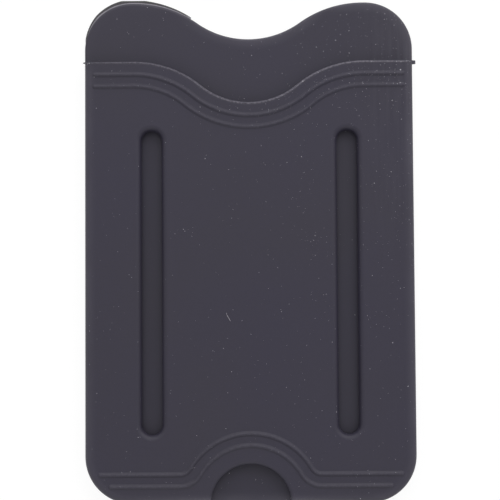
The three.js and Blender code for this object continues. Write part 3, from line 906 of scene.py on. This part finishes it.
def pale_dust():
    """Household dust and lint: dull pale grey crumbs and a cotton fibre, each speck a little different."""
    material, tree, shader, mm = new_material("pale_dust", 0.9, 1.45)
    steps = (SPECK_SHADE_SIZE,) * 3
    snapped = node(tree, "ShaderNodeVectorMath", {0: mm, 1: steps}, operation="SNAP").outputs[0]
    varied = node(tree, "ShaderNodeTexWhiteNoise", {"Vector": snapped}).outputs["Value"]
    tones = {0: varied, 6: linear("#96939c"), 7: linear("#d4d2d8")}
    tone = node(tree, "ShaderNodeMix", tones, data_type="RGBA")
    tree.links.new(tone.outputs[2], shader.inputs["Base Color"])
    return material


def seen_directly(tree):
    """1 for rays that come straight from the camera, a reflection or glass, 0 for diffuse light."""
    path = node(tree, "ShaderNodeLightPath").outputs
    camera_or_gloss = {0: path["Is Camera Ray"], 1: path["Is Glossy Ray"]}
    seen = node(tree, "ShaderNodeMath", camera_or_gloss, operation="MAXIMUM").outputs[0]
    through_glass = {0: seen, 1: path["Is Transmission Ray"]}
    return node(tree, "ShaderNodeMath", through_glass, operation="MAXIMUM").outputs[0]


def white_floor(scene):
    """White floor. Seen directly it glows almost to white, and the rest is its own lit surface, so
    the holder's shadow stays as a faint shade."""
    mesh = bpy.data.meshes.new("floor")
    square = np.array([(-1, -1), (1, -1), (1, 1), (-1, 1)]) * FLOOR_REACH
    mesh.from_pydata(at_height(square, FLOOR_LEVEL).tolist(), [], [(0, 1, 2, 3)])
    floor = bpy.data.objects.new("floor", mesh)
    scene.collection.objects.link(floor)
    material, tree, shader, _ = new_material("white_floor", 1.0, 1.45)
    shader.inputs["Specular IOR Level"].default_value = 0.0
    shader.inputs["Emission Color"].default_value = (1, 1, 1, 1)
    direct = seen_directly(tree)
    glow = node(tree, "ShaderNodeMath", {0: direct, 1: FLOOR_GLOW}, operation="MULTIPLY")
    tree.links.new(glow.outputs[0], shader.inputs["Emission Strength"])
    paint = node(tree, "ShaderNodeMix", {0: direct, 6: FLOOR_LIT, 7: FLOOR_SEEN}, data_type="RGBA")
    tree.links.new(paint.outputs[2], shader.inputs["Base Color"])
    material.cycles.emission_sampling = "NONE"
    mesh.materials.append(material)


def white_surround(scene):
    """World that is white where it is seen or reflected, and softer where it only lights."""
    world = bpy.data.worlds.new("surround")
    scene.world = world
    world.use_nodes = True
    world.cycles.sampling_method = "NONE"
    tree = world.node_tree
    background = tree.nodes["Background"]
    background.inputs["Color"].default_value = (1, 1, 1, 1)
    levels = {0: seen_directly(tree), 2: SURROUND_LIGHT, 3: 1.0}
    level = node(tree, "ShaderNodeMix", levels, data_type="FLOAT")
    tree.links.new(level.outputs[0], background.inputs["Strength"])


def softbox(scene, name, azimuth, elevation, power):
    """Square soft lamp aimed at the holder, placed by angles in degrees."""
    turn, tilt = math.radians(azimuth), math.radians(elevation)
    across = math.cos(tilt) * LAMP_DISTANCE
    place = Vector((across * math.sin(turn), across * math.cos(turn), math.sin(tilt) * LAMP_DISTANCE))
    lamp = bpy.data.lights.new(name, "AREA")
    lamp.size = LAMP_SIZE
    lamp.energy = power
    made = bpy.data.objects.new(name, lamp)
    made.location = place
    made.rotation_euler = (-place).to_track_quat("-Z", "Y").to_euler()
    scene.collection.objects.link(made)


def photo_camera(scene):
    """Camera nearly straight above the holder, leaning towards the bottom edge and rolled a little."""
    lens = bpy.data.cameras.new("camera")
    lens.lens = FOCAL_LENGTH
    lens.sensor_width = SENSOR_WIDTH
    lens.clip_start = NEAREST_SEEN
    camera = bpy.data.objects.new("camera", lens)
    scene.collection.objects.link(camera)
    aim = (Vector(CAMERA_AIM) - Vector((0, BODY_HEIGHT / 2, 0))) * MM
    back = Vector((0, -math.sin(CAMERA_LEAN), math.cos(CAMERA_LEAN)))
    level_up = back.cross(Vector((1, 0, 0)))
    up = level_up * math.cos(CAMERA_ROLL) - Vector((1, 0, 0)) * math.sin(CAMERA_ROLL)
    turned = Matrix((up.cross(back), up, back)).transposed().to_4x4()
    camera.matrix_world = Matrix.Translation(aim + back * CAMERA_DISTANCE * MM) @ turned
    scene.camera = camera


# The pieces
body = silicone_moulding()
mark_dust_and_highlight_edges(body)
liner = release_liner()
squeeze = squeezed_adhesive()
dust = dust_specks(body)
lint = lint_fibre()
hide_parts("holder_body")
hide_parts("release_liner")
silicone, crumb = moulded_silicone(), pale_dust()
for piece, slot, material in (
    (body, "silicone", silicone),
    (liner, "liner_film", release_film()),
    (squeeze, "adhesive", acrylic_adhesive()),
    (dust, "silicone", crumb),
    (lint, "silicone", crumb),
):
    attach(piece, "root")
    dress(piece, material)
dress(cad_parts["adhesive_pad"], acrylic_foam_tape())

# The surroundings
scene = bpy.context.scene
scene.view_settings.view_transform = "Standard"
white_floor(scene)
white_surround(scene)
for lamp in LAMPS:
    softbox(scene, *lamp)
photo_camera(scene)
